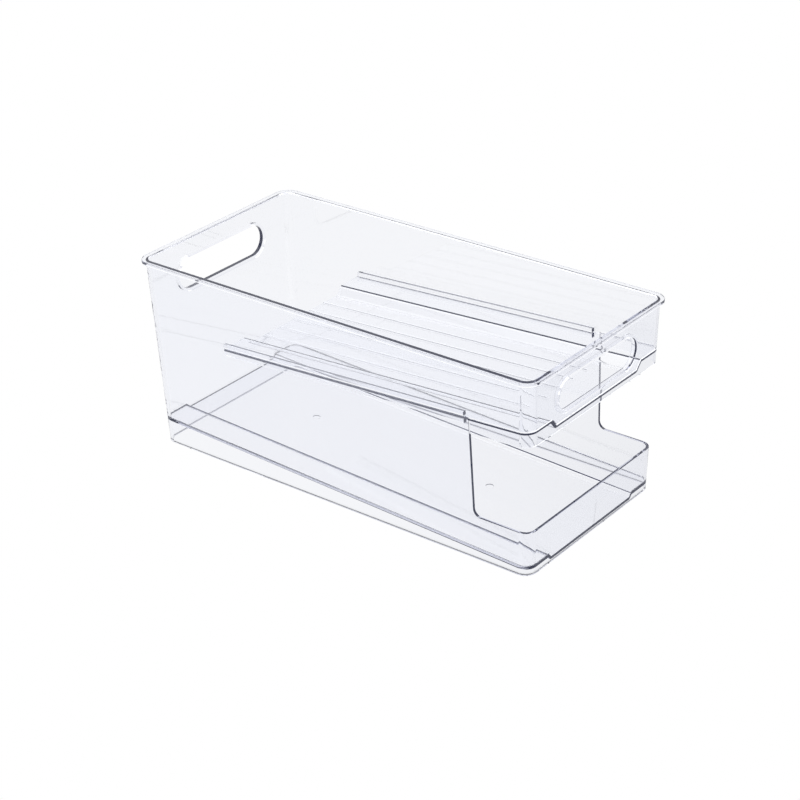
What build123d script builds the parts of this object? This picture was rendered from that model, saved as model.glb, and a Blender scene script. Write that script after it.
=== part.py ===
from build123d import *
import os
from math import atan2, cos, radians, sin, tan

# Two-tier can dispenser bin, clear moulded plastic. Millimetres, +Z up.
# Origin on the surface it stands on, under the middle of the footprint.
# +X runs to the front end, where the cans come out; Y is across.
# Cans roll back down the upper shelf, drop at the rear wall and roll forward on the floor.

# Outer form
rim_length = 357.0
rim_width = 170.0
bin_height = 152.4
wall = 2.2
draft_angle = 1.75
wall_corner = 9.0

# Rim turned outwards round the mouth
rim_overhang = 3.0
rim_depth = 2.5
rim_round = 0.5
mouth_round = 0.8

# Floor, falling towards the front, with a sunken middle lane
floor_thickness = 2.2
floor_mid_height = 12.5
floor_fall_angle = 2.38
floor_lane_depth = 2.9
floor_strip_width = 33.0
floor_lane_run = 2.0
floor_cove = 1.2
floor_bend = 1.0

# Round marks of the two moulding gates, sunk in the underside of the lane
gate_spacing = 164.0
gate_diameter = 6.0
gate_depth = 0.6

# Window at the front end, open to the front and to both sides
window_edge_x = 125.4
window_edge_rake = 1.2
window_corner = 6.0
lip_height = 34.5

# Hand holes in both ends, each with a collar on the inside
handle_length = 94.8
handle_opening = 25.1
handle_below_rim = 26.5
collar_wall = 2.0
collar_reach = 2.3

# Upper shelf, rising towards the front, with a deeper middle lane
shelf_thickness = 2.0
shelf_below_rim = 49.0
shelf_rise_angle = 3.085
shelf_rear_x = -99.5
shelf_lane_depth = 6.2
shelf_strip_width = 30.0
shelf_lane_run = 5.0
shelf_bend = 1.5

# Low domed ribs along the shelf's lane
rib_count = 5
rib_pitch = 16.8
rib_width = 3.4
rib_height = 0.25
rib_front_x = 143.5

# Skirt under the rim of the shelf's wide front part
skirt_wall = 2.0
skirt_drop = 10.3

# Runner rails on the side walls, above and below the shelf's edge
rail_height = 3.0
rail_reach = 3.0
rail_front_x = 119.0

# Clearances between the bin and the shelf
slide_gap = 0.3
side_gap = 0.35
band_gap = 0.4
shoulder_gap = 0.3

# Sizes that follow from the ones above
wall_top_length = rim_length - 2 * rim_overhang
wall_top_width = rim_width - 2 * rim_overhang
rim_corner = wall_corner + rim_overhang
draft_slope = tan(radians(draft_angle))
past_top = 2 * rim_depth
handle_height = bin_height - handle_below_rim
shelf_mid_height = bin_height - shelf_below_rim
floor_lane_top_half = rim_width / 2 - floor_strip_width
floor_lane_low_half = floor_lane_top_half - floor_lane_run
shelf_lane_top_half = rim_width / 2 - shelf_strip_width
shelf_lane_low_half = shelf_lane_top_half - shelf_lane_run


def wall_outline(z, inset):
    """Rounded outline of the drafted walls at height z, moved in by inset."""
    shrink = (bin_height - z) * draft_slope + inset
    corner = wall_corner - inset
    outline = RectangleRounded(wall_top_length - 2 * shrink, wall_top_width - 2 * shrink, corner)
    return Plane.XY.offset(z) * outline


def wall_block(inset, z_low, z_high):
    """Solid block inside the drafted walls."""
    return loft([wall_outline(z_low, inset), wall_outline(z_high, inset)], ruled=True)


def along_slope(mid_height, rise_angle):
    """Plane across the bin: x along Y, y square to the slope, z forwards up the slope."""
    rise = radians(rise_angle)
    return Plane(origin=(0, 0, mid_height), x_dir=(0, 1, 0), z_dir=(cos(rise), 0, sin(rise)))


def slope_distance(x, rise_angle):
    """Distance along the slope of the place at x."""
    return x / cos(radians(rise_angle))


def lane_edge(lift, depth, top_half, low_half, bend, thickness, reach):
    """One face of a sheet with a sunken lane, lift above the middle of the sheet."""
    lean = lift * tan(atan2(depth, top_half - low_half) / 2)
    upper = top_half - lean
    lower = low_half - lean
    tight = bend
    wide = bend + thickness
    bends = [wide, tight, tight, wide] if lift > 0 else [tight, wide, wide, tight]
    points = [
        (-reach, lift),
        (-upper, lift),
        (-lower, lift - depth),
        (lower, lift - depth),
        (upper, lift),
        (reach, lift),
    ]
    return FilletPolyline(*points, radius=bends)


def area_to(level, edge, reach):
    """Area between a lane edge and a straight line at level."""
    start = edge @ 0
    end = edge @ 1
    lid = Polyline(end, (reach, level), (-reach, level), start)
    return make_face(Curve() + [edge, lid])


half_span = rim_width / 2 + rim_overhang
half_run = rim_length

floor_lane = dict(
    depth=floor_lane_depth,
    top_half=floor_lane_top_half,
    low_half=floor_lane_low_half,
    bend=floor_bend,
    thickness=floor_thickness,
)
shelf_lane = dict(
    depth=shelf_lane_depth,
    top_half=shelf_lane_top_half,
    low_half=shelf_lane_low_half,
    bend=shelf_bend,
    thickness=shelf_thickness,
)
floor_plane = along_slope(floor_mid_height, -floor_fall_angle)
shelf_plane = along_slope(shelf_mid_height, shelf_rise_angle)


# ---------------------------------------------------------------- bin body

# Drafted outer skin with the flat rim round its mouth
bin_skin = wall_block(0, 0, bin_height)
rim_outline = RectangleRounded(rim_length, rim_width, rim_corner)
rim_plate = extrude(Plane.XY.offset(bin_height) * rim_outline, -rim_depth)
rim_edges = rim_plate.faces().filter_by(Axis.Z).edges()
rim_plate = fillet(rim_edges, rim_round)
bin_skin = bin_skin + rim_plate

# Space over the floor: down to the side strips, with a cove round the bottom
inside = wall_block(wall, 0, bin_height + past_top)
strip_level = floor_thickness / 2
strip_line = Line((-half_span, strip_level), (half_span, strip_level))
over_strip_line = area_to(2 * bin_height, strip_line, half_span)
over_strips = inside & extrude(floor_plane * over_strip_line, half_run, both=True)
strip_face = over_strips.faces().sort_by(Axis.Z)[0]
chamber = fillet(strip_face.edges(), floor_cove)

# The lane sinks the middle of the floor from end wall to end wall
lane_top = lane_edge(lift=strip_level, reach=half_span, **floor_lane)
lane_reach = floor_lane_top_half
lane_cut = area_to(strip_level + floor_cove, lane_top, half_span)
lane_band = Rectangle(2 * lane_reach, 4 * floor_cove + 2 * floor_lane_depth)
lane_cut = lane_cut & lane_band
lane_space = inside & extrude(floor_plane * lane_cut, half_run, both=True)

# Space under the floor, open to the surface below
lane_under = lane_edge(lift=-strip_level, reach=half_span, **floor_lane)
floor_and_above = area_to(2 * bin_height, lane_under, half_span)
above_underside = extrude(floor_plane * floor_and_above, half_run, both=True)
under_floor = inside - above_underside

bin_body = bin_skin - chamber - lane_space - under_floor

# Collars round the hand holes, on the inside of both end walls
handle_plane = Plane(origin=(0, 0, handle_height), x_dir=(0, 1, 0), z_dir=(1, 0, 0))
handle_hole = SlotOverall(handle_length, handle_opening)
collar_outline = SlotOverall(handle_length + 2 * collar_wall, handle_opening + 2 * collar_wall)
collar_zone = wall_block(wall / 2, 0, bin_height) - wall_block(wall + collar_reach, 0, bin_height)
collars = collar_zone & extrude(handle_plane * collar_outline, half_run, both=True)
handle_cut = extrude(handle_plane * handle_hole, half_run, both=True)

# Runner rails along both side walls: one over the shelf's edge and one under it
rail_offset = shelf_thickness / 2 + slide_gap + rail_height / 2
rail_start = slope_distance(shelf_rear_x, shelf_rise_angle)
rail_end = slope_distance(rail_front_x, shelf_rise_angle)
rail_zone = wall_block(wall / 2, 0, bin_height) - wall_block(wall + rail_reach, 0, bin_height)
rail_band = Rectangle(2 * half_span, rail_height)
rail_bands = Pos(0, rail_offset) * rail_band + Pos(0, -rail_offset) * rail_band
rails = rail_zone & extrude(shelf_plane.offset(rail_start) * rail_bands, rail_end - rail_start)

# Window profile seen from the side: raked rear edge, round lower corner, lip
window_rake = (bin_height - lip_height) * tan(radians(window_edge_rake))
window_line = FilletPolyline(
    (rim_length, lip_height),
    (window_edge_x, lip_height),
    (window_edge_x - window_rake, bin_height),
    radius=window_corner,
)
window_close = Polyline(window_line @ 1, (rim_length, bin_height), window_line @ 0)
window_profile = make_face(Curve() + [window_line, window_close])
window_block = extrude(Plane.XZ * window_profile, half_span, both=True)

# The band over the window follows the top of the shelf, high enough for its ribs to pass
band_lift = shelf_thickness / 2 + band_gap
band_low = band_lift - shelf_lane_depth + rib_height
lane_lean = atan2(shelf_lane_depth, shelf_lane_top_half - shelf_lane_low_half) / 2
band_inset = shelf_thickness / 2 * tan(lane_lean) + band_gap
band_top_half = shelf_lane_top_half - band_inset
band_low_half = shelf_lane_low_half - band_inset
band_edge = FilletPolyline(
    (-half_span, band_lift),
    (-band_top_half, band_lift),
    (-band_low_half, band_low),
    (band_low_half, band_low),
    (band_top_half, band_lift),
    (half_span, band_lift),
    radius=shelf_bend,
)
band_area = area_to(bin_height, band_edge, half_span)
band_space = extrude(shelf_plane * band_area, half_run, both=True)
window_cut = window_block - band_space

# Gate marks on the middle line, in the underside of the lane
gate_origin = floor_plane.origin - floor_plane.y_dir * (strip_level + floor_lane_depth)
gate_plane = Plane(origin=gate_origin, x_dir=floor_plane.z_dir, z_dir=floor_plane.y_dir)
gate_mark = Cylinder(gate_diameter / 2, 2 * gate_depth)
gate_marks = gate_plane * GridLocations(gate_spacing, 0, 2, 1) * gate_mark

bin_body = bin_body + collars + rails - handle_cut - window_cut - gate_marks

# Round the inner edge of the mouth
mouth_face = bin_body.faces().sort_by(Axis.Z)[-1]
bin_body = fillet(mouth_face.inner_wires()[0].edges(), mouth_round)


# ---------------------------------------------------------------- upper shelf

# Sheet with the sunken lane, running the length of the shelf
sheet_top = lane_edge(lift=shelf_thickness / 2, reach=half_span, **shelf_lane)
sheet_under = lane_edge(lift=-shelf_thickness / 2, reach=half_span, **shelf_lane)
left_side = Line(sheet_top @ 0, sheet_under @ 0)
right_side = Line(sheet_top @ 1, sheet_under @ 1)
sheet_section = make_face(Curve() + [sheet_top, sheet_under, left_side, right_side])
shelf_start = slope_distance(shelf_rear_x, shelf_rise_angle)
sheet = extrude(shelf_plane.offset(shelf_start) * sheet_section, half_run)

# Inside the bin the sheet runs between the side walls
running_part = sheet & wall_block(wall + side_gap, 0, bin_height)

# In the window it widens to the bin's outer skin and stops against the window's rear edges
window_zone = Pos(shoulder_gap, 0, 0) * window_block
outer_block = wall_block(0, 0, bin_height)
wide_part = sheet & outer_block & window_zone

# Skirt round the wide part, its lower edge along the shelf's slope
sheet_middle = lane_edge(lift=0, reach=half_span, **shelf_lane)
skirt_area = area_to(-skirt_drop, sheet_middle, half_span)
skirt_ring = outer_block - wall_block(skirt_wall, 0, bin_height)
skirt = skirt_ring & window_zone & extrude(shelf_plane * skirt_area, half_run)

# Running ribs, straight up the lane: a flat arc across, a ball nose at the front end
rib_base = shelf_thickness / 2 - shelf_lane_depth
rib_end = slope_distance(rib_front_x, shelf_rise_angle) - rib_width / 2
rib_run = rib_end - shelf_start
rib_radius = (rib_width ** 2 / 4 + rib_height ** 2) / (2 * rib_height)
rib_origin = shelf_plane.origin + shelf_plane.y_dir * rib_base + shelf_plane.z_dir * shelf_start
rib_plane = Plane(origin=rib_origin, x_dir=shelf_plane.z_dir, z_dir=shelf_plane.y_dir)
rib_sink = rib_radius - rib_height
rib_bar = Plane.YZ * Cylinder(rib_radius, rib_run, align=(Align.CENTER, Align.CENTER, Align.MIN))
rib_nose = Pos(rib_run, 0, 0) * Sphere(rib_radius)
rib = Pos(0, 0, -rib_sink) * (rib_bar + rib_nose)
rib = split(rib, bisect_by=Plane.XY.offset(-shelf_thickness / 2), keep=Keep.TOP)
ribs = rib_plane * GridLocations(0, rib_pitch, 1, rib_count) * rib

can_shelf = running_part + wide_part + skirt + ribs


# ---------------------------------------------------------------- files

os.makedirs("parts", exist_ok=True)
for name, solid in (("bin_body", bin_body), ("can_shelf", can_shelf)):
    solid.label = name
    export_step(solid, os.path.join("parts", name + ".step"))
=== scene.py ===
"""Looks of a clear two-tier can dispenser bin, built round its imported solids. Metres, +Z up."""

import math

import bmesh
import bpy
from mathutils import Matrix, Vector


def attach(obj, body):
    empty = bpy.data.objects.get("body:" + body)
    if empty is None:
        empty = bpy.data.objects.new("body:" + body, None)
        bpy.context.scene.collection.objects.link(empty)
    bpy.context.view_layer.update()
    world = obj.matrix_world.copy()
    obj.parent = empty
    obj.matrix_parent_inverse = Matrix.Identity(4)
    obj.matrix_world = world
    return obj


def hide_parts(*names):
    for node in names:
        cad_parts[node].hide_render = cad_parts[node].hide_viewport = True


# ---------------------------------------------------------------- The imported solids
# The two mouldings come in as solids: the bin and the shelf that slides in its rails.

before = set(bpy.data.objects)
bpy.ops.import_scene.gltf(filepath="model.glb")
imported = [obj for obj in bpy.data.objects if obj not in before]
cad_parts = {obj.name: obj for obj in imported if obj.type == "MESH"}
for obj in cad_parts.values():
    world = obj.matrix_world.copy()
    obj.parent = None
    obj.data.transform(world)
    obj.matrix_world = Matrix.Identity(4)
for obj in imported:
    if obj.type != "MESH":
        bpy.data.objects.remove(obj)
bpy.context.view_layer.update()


# ---------------------------------------------------------------- Bin body
# One clear injection moulding in a polished tool: rim, drafted walls, sloped floor with a
# sunken lane, window with its low lip, hand holes with collars, and the shelf's rails.

# Points closer than MERGE are one point. Faces that bend less than CREASE belong to one round,
# and less than FLAT to one flat. A round's facets are narrow strips of few triangles.
MERGE = 0.00002
CREASE = math.radians(28)
FLAT = math.radians(0.05)
WIDEST_FACET = 0.0032
MOST_FACET_TRIANGLES = 5


def flat_regions(shape):
    """The shared normal of each triangle that lies in a flat region, found by flooding."""
    normals = {}
    seen = set()
    for start in shape.faces:
        if start in seen:
            continue
        seen.add(start)
        region = [start]
        tangent_length = 0.0
        for face in region:
            for edge in face.edges:
                bend = edge.calc_face_angle(math.pi)
                if bend < FLAT:
                    fresh = [other for other in edge.link_faces if other not in seen]
                    seen.update(fresh)
                    region.extend(fresh)
                elif bend < CREASE:
                    tangent_length += edge.calc_length()
        # A strip's width is twice its area over the length of its two bent edges.
        area = sum(face.calc_area() for face in region)
        wide = 2 * area > WIDEST_FACET * tangent_length
        if wide or len(region) > MOST_FACET_TRIANGLES:
            total = sum((face.normal * face.calc_area() for face in region), Vector())
            normals.update((face, total.normalized()) for face in region)
    return normals


def corner_normal(corner, flat):
    """Flat faces keep their own normal, and rounds run into the flats beside them."""
    if corner.face in flat:
        return flat[corner.face]
    beside = [
        face
        for face in corner.vert.link_faces
        if face.normal.angle(corner.face.normal, 0) < CREASE
    ]
    flats = [flat[face] for face in beside if face in flat]
    rounds = [face.normal * face.calc_area() for face in beside]
    return sum(flats or rounds, Vector()).normalized()


def moulded_copy(node, name):
    """A welded copy of a solid, shaded as a polished moulding: true flats, smooth rounds."""
    shape = bmesh.new()
    shape.from_mesh(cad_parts[node].data)
    bmesh.ops.remove_doubles(shape, verts=shape.verts, dist=MERGE)
    flat = flat_regions(shape)
    normals = [corner_normal(corner, flat) for face in shape.faces for corner in face.loops]
    mesh = bpy.data.meshes.new(name)
    shape.to_mesh(mesh)
    shape.free()
    mesh.shade_smooth()
    mesh.normals_split_custom_set(normals)
    piece = bpy.data.objects.new(name, mesh)
    bpy.context.scene.collection.objects.link(piece)
    return piece


class Term:
    """A node's output, which can be used in sums and products."""

    def __init__(self, nodes, socket):
        self.nodes = nodes
        self.socket = socket

    def _math(self, operation, *values):
        return self.nodes.add("ShaderNodeMath", {"operation": operation}, *values)

    def __add__(self, other):
        return self._math("ADD", self, other)

    __radd__ = __add__

    def __mul__(self, other):
        return self._math("MULTIPLY", self, other)

    __rmul__ = __mul__


class Nodes:
    """One shader's nodes. Each is made with its settings, and then its inputs are set."""

    def __init__(self, tree):
        self.tree = tree
        tree.nodes.clear()

    def add(self, kind, settings=None, *inputs, out=0, **named):
        node = self.tree.nodes.new(kind)
        for key, value in (settings or {}).items():
            if key == "stops":
                ramp = node.color_ramp
                while len(ramp.elements) < len(value):
                    ramp.elements.new(0.5)
                for element, (place, colour) in zip(ramp.elements, value):
                    element.position = place
                    element.color = colour
            else:
                setattr(node, key, value)
        pairs = list(enumerate(inputs)) + [(k.replace("_", " "), v) for k, v in named.items()]
        for key, value in pairs:
            if isinstance(value, Term):
                self.tree.links.new(value.socket, node.inputs[key])
            elif value is not None:
                node.inputs[key].default_value = value
        return Term(self, node.outputs[out]) if len(node.outputs) else node

    def mix(self, factor, first, second):
        """A colour between two: a mix node's colour sockets are its seventh and eighth."""
        mix = self.add("ShaderNodeMix", {"data_type": "RGBA"}, factor, out=2)
        for key, value in ((6, first), (7, second)):
            if isinstance(value, Term):
                self.tree.links.new(value.socket, mix.socket.node.inputs[key])
            else:
                mix.socket.node.inputs[key].default_value = value
        return mix


# Soft clouds vary the tint and finer flow marks the polish. Light that runs along the plastic
# takes on DEPTH_TINT, and a faint painted blue glow over all the plastic tints its dark edges.
TINT = (0.995, 0.997, 1, 1)
CLOUD_TINT = (0.985, 0.99, 1, 1)
CLOUD_SCALE = 9.0
FLOW_SCALE = 60.0
POLISH = 0.008
FLOW_MARKS = 0.012
WAVE_STRENGTH = 0.03
WAVE_HEIGHT = 0.001
REFRACTION = 1.55
DEPTH_TINT = (0.3, 0.33, 0.54, 1)
DEPTH_DENSITY = 16.0
PAINTED_GLOW_BLUE = (0.1, 0.15, 0.5, 1)
PAINTED_GLOW_STRENGTH = 0.01


def clear_plastic(name):
    """Polished clear plastic: almost clear through a wall, blue where light runs along it, with a
    faint painted blue glow.
    """
    material = bpy.data.materials.new(name)
    material.use_nodes = True
    material.cycles.emission_sampling = "NONE"
    n = Nodes(material.node_tree)
    place = n.add("ShaderNodeTexCoord", None, out="Object")
    clouds = n.add("ShaderNodeTexNoise", None, Vector=place, Scale=CLOUD_SCALE, Detail=2.0)
    flow = n.add("ShaderNodeTexNoise", None, Vector=place, Scale=FLOW_SCALE, Detail=3.0)
    waves = n.add(
        "ShaderNodeBump", None, Strength=WAVE_STRENGTH, Distance=WAVE_HEIGHT, Height=clouds
    )
    surface = n.add(
        "ShaderNodeBsdfPrincipled",
        None,
        Base_Color=n.mix(clouds, TINT, CLOUD_TINT),
        Roughness=POLISH + flow * FLOW_MARKS,
        IOR=REFRACTION,
        Transmission_Weight=1.0,
        # A painted glow, not a lamp: faint blue emission over the whole surface, seen on dark
        # edges.
        Emission_Color=PAINTED_GLOW_BLUE,
        Emission_Strength=PAINTED_GLOW_STRENGTH,
        Normal=waves,
    )
    depth = n.add("ShaderNodeVolumeAbsorption", None, Color=DEPTH_TINT, Density=DEPTH_DENSITY)
    n.add("ShaderNodeOutputMaterial", None, surface, depth)
    return material


bin_body = moulded_copy("bin_body", "bin_moulding")
bin_body.data.materials.append(clear_plastic("bin_plastic"))
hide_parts("bin_body")
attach(bin_body, "bin")


# ---------------------------------------------------------------- Can shelf
# A second clear moulding that slides in from the front. Cans roll back down its sunken lane,
# on five low ribs, and its wide front part fills the head of the window.

shelf = moulded_copy("can_shelf", "shelf_moulding")
shelf.data.materials.append(clear_plastic("shelf_plastic"))
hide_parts("can_shelf")
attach(shelf, "shelf")


# ---------------------------------------------------------------- Floor
# A white surface far larger than the bin, without a seam in view, pure white to the camera.
# Through the plastic and in its gloss it is greyer, most of all in a soft shade beyond the
# window's end, and it is dark in the thin gap under the bin's edges.

FLOOR_Z = -0.0002
REACH = 12.0
WHITE = (1, 1, 1, 1)
MATT_WHITE = (0.9, 0.9, 0.9, 1)
THROUGH_PLASTIC = (0.945, 0.948, 0.956, 1)
SOFT_SHADE = (0.68, 0.685, 0.705, 1)
SHADE_PLACE = (0.36, 0.2, 0.0)
SHADE_REACH = 0.5
CONTACT_SHADE = (0.05, 0.05, 0.055, 1)
CONTACT_NEAR = 0.001
CONTACT_FAR = 0.003

floor_mesh = bpy.data.meshes.new("floor")
floor_mesh.from_pydata(
    [(-REACH, -REACH, 0), (REACH, -REACH, 0), (REACH, REACH, 0), (-REACH, REACH, 0)],
    [],
    [(0, 1, 2, 3)],
)
floor = bpy.data.objects.new("floor", floor_mesh)
floor.location.z = FLOOR_Z
bpy.context.scene.collection.objects.link(floor)

white_floor = bpy.data.materials.new("white_floor")
white_floor.use_nodes = True
n = Nodes(white_floor.node_tree)
camera_ray = n.add("ShaderNodeLightPath", out="Is Camera Ray")
glossy_ray = n.add("ShaderNodeLightPath", out="Is Glossy Ray")
clear_ray = n.add("ShaderNodeLightPath", out="Is Transmission Ray")
length = n.add("ShaderNodeLightPath", out="Ray Length")
clear_of_gap = n.add("ShaderNodeMapRange", None, length, CONTACT_NEAR, CONTACT_FAR, 0.0, 1.0)
place = n.add("ShaderNodeTexCoord", None, out="Object")
spot = n.add(
    "ShaderNodeMapping",
    {"vector_type": "TEXTURE"},
    place,
    Location=SHADE_PLACE,
    Scale=(SHADE_REACH, SHADE_REACH, SHADE_REACH),
)
shade = n.add("ShaderNodeTexGradient", {"gradient_type": "QUADRATIC_SPHERE"}, spot)
tone = n.mix(camera_ray, n.mix(shade, THROUGH_PLASTIC, SOFT_SHADE), WHITE)
seen = n.add(
    "ShaderNodeMath", {"operation": "ADD", "use_clamp": True}, camera_ray + glossy_ray, clear_ray
)
glow = n.add("ShaderNodeEmission", None, Color=n.mix(clear_of_gap, CONTACT_SHADE, tone))
matt = n.add("ShaderNodeBsdfDiffuse", None, Color=MATT_WHITE)
both = n.add("ShaderNodeMixShader", None, seen, matt, glow)
n.add("ShaderNodeOutputMaterial", None, both)
floor_mesh.materials.append(white_floor)


# ---------------------------------------------------------------- Studio
# White to the camera. The bin sees a white room by the sine of the height: bright low lamps
# that streak the ribs, a greyer middle, bright overhead lamps and a dark ceiling.

ROOM = [
    (0.0, (1, 1, 1, 1)),
    (0.02, (1.5, 1.5, 1.5, 1)),
    (0.28, (1.5, 1.5, 1.5, 1)),
    (0.34, (1.02, 1.02, 1.02, 1)),
    (0.43, (1.02, 1.02, 1.02, 1)),
    (0.46, (0.8, 0.8, 0.84, 1)),
    (0.57, (0.8, 0.8, 0.84, 1)),
    (0.62, (1.7, 1.7, 1.7, 1)),
    (0.85, (1.7, 1.7, 1.7, 1)),
    (0.9, (0.2, 0.2, 0.35, 1)),
]

world = bpy.data.worlds.new("studio")
bpy.context.scene.world = world
world.use_nodes = True
n = Nodes(world.node_tree)
way = n.add("ShaderNodeTexCoord", out="Generated")
height = n.add("ShaderNodeSeparateXYZ", None, way, out="Z")
room = n.add("ShaderNodeValToRGB", {"stops": ROOM}, height)
camera_ray = n.add("ShaderNodeLightPath", out="Is Camera Ray")
background = n.add("ShaderNodeBackground", None, Color=n.mix(camera_ray, room, WHITE))
n.add("ShaderNodeOutputWorld", None, background)


# ---------------------------------------------------------------- Camera
# A long lens from the front left, looking down on the open top.

camera_data = bpy.data.cameras.new("camera")
camera_data.lens = 94.84
camera_data.sensor_width = 36.0
camera_data.shift_x = -0.00508
camera_data.shift_y = 0.00866
camera_data.clip_start = 0.01
camera_data.clip_end = 100.0
camera = bpy.data.objects.new("camera", camera_data)
stand = Vector((0.8703, -1.0722, 0.7797))
right = Vector((0.7864229, 0.6170005, -0.0276423))
down = Vector((0.2702381, -0.3843454, -0.8830449))
ahead = Vector((-0.5551186, 0.6872759, -0.4690056))
turn = Matrix((right, -down, -ahead)).transposed()
camera.matrix_world = Matrix.Translation(stand) @ turn.to_4x4()
bpy.context.scene.collection.objects.link(camera)
bpy.context.scene.camera = camera

bpy.context.scene.view_settings.view_transform = "Standard"

# Light trapped in an edge is mirrored many times. Blender's own limit of 4 leaves the near
# edge of the bin's floor black.
bpy.context.scene.cycles.glossy_bounces = 8
